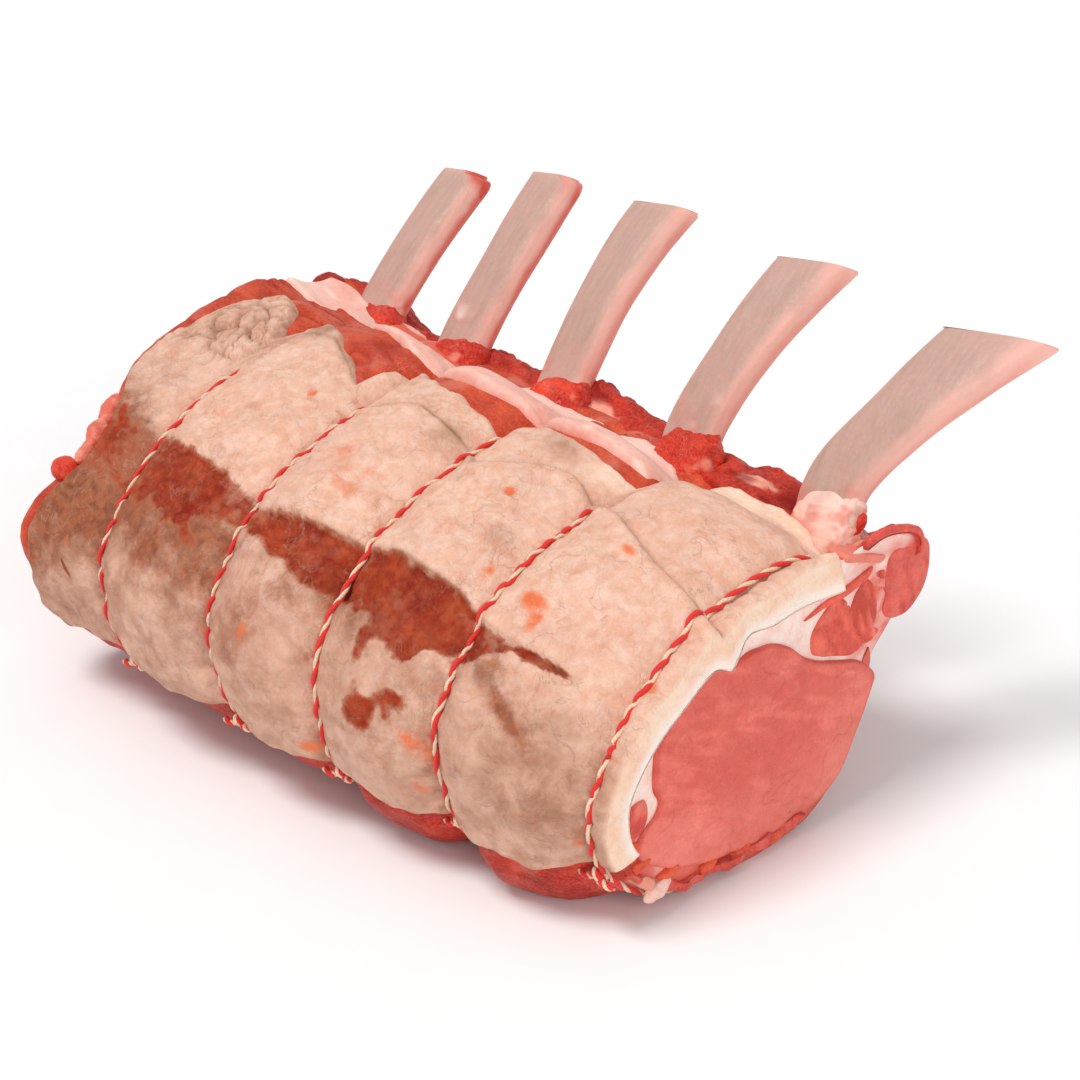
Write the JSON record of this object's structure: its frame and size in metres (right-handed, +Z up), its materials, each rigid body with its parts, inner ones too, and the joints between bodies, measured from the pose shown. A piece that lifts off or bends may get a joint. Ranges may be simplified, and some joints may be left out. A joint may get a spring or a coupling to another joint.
{
  "type": "rack of veal",
  "caption": "Rolled and tied veal rib roast with frenched bones, a fat cap, a cut end that shows the eye of the loin, and striped kitchen twine.",
  "frame": {"origin": "middle of the bounding box at the level that the roast rests on", "axes": "+X along the roast towards its cut face, +Y towards the rib tips, the fat cap towards -Y, +Z up"},
  "size_m": [0.243, 0.18, 0.131],
  "materials": {
    "eye_lean": "moist raw veal lean, salmon red, with faint grain and little marbling",
    "dark_lean": "moist darker red lean beside the bones and under the fat",
    "cap_lean": "moist bright red lean of the rib cap",
    "outer_fat": "dull cream to peach outer fat with grey membrane and brown-red patches where lean shows through",
    "pink_fat": "smooth pinkish fat strip beside the ribs",
    "seam_fat": "soft white seam fat between the muscles",
    "bone": "scraped greyish pink bone, redder along its edges and at its foot",
    "twine": "two-ply cotton kitchen twine, one red ply and one cream ply"
  },
  "bodies": {
    "root": {"eye_of_loin": "eye_lean", "under_lean": "dark_lean", "rib_cap_muscle": "cap_lean", "rim_lean": "dark_lean", "fat_cap": "outer_fat", "fat_strip": "pink_fat", "seam_fat": "seam_fat", "rib_1": "bone", "rib_2": "bone", "rib_3": "bone", "rib_4": "bone", "rib_5": "bone", "twine_1": "twine", "twine_2": "twine", "twine_3": "twine", "twine_4": "twine", "twine_5": "twine"}
  },
  "joints": []
}
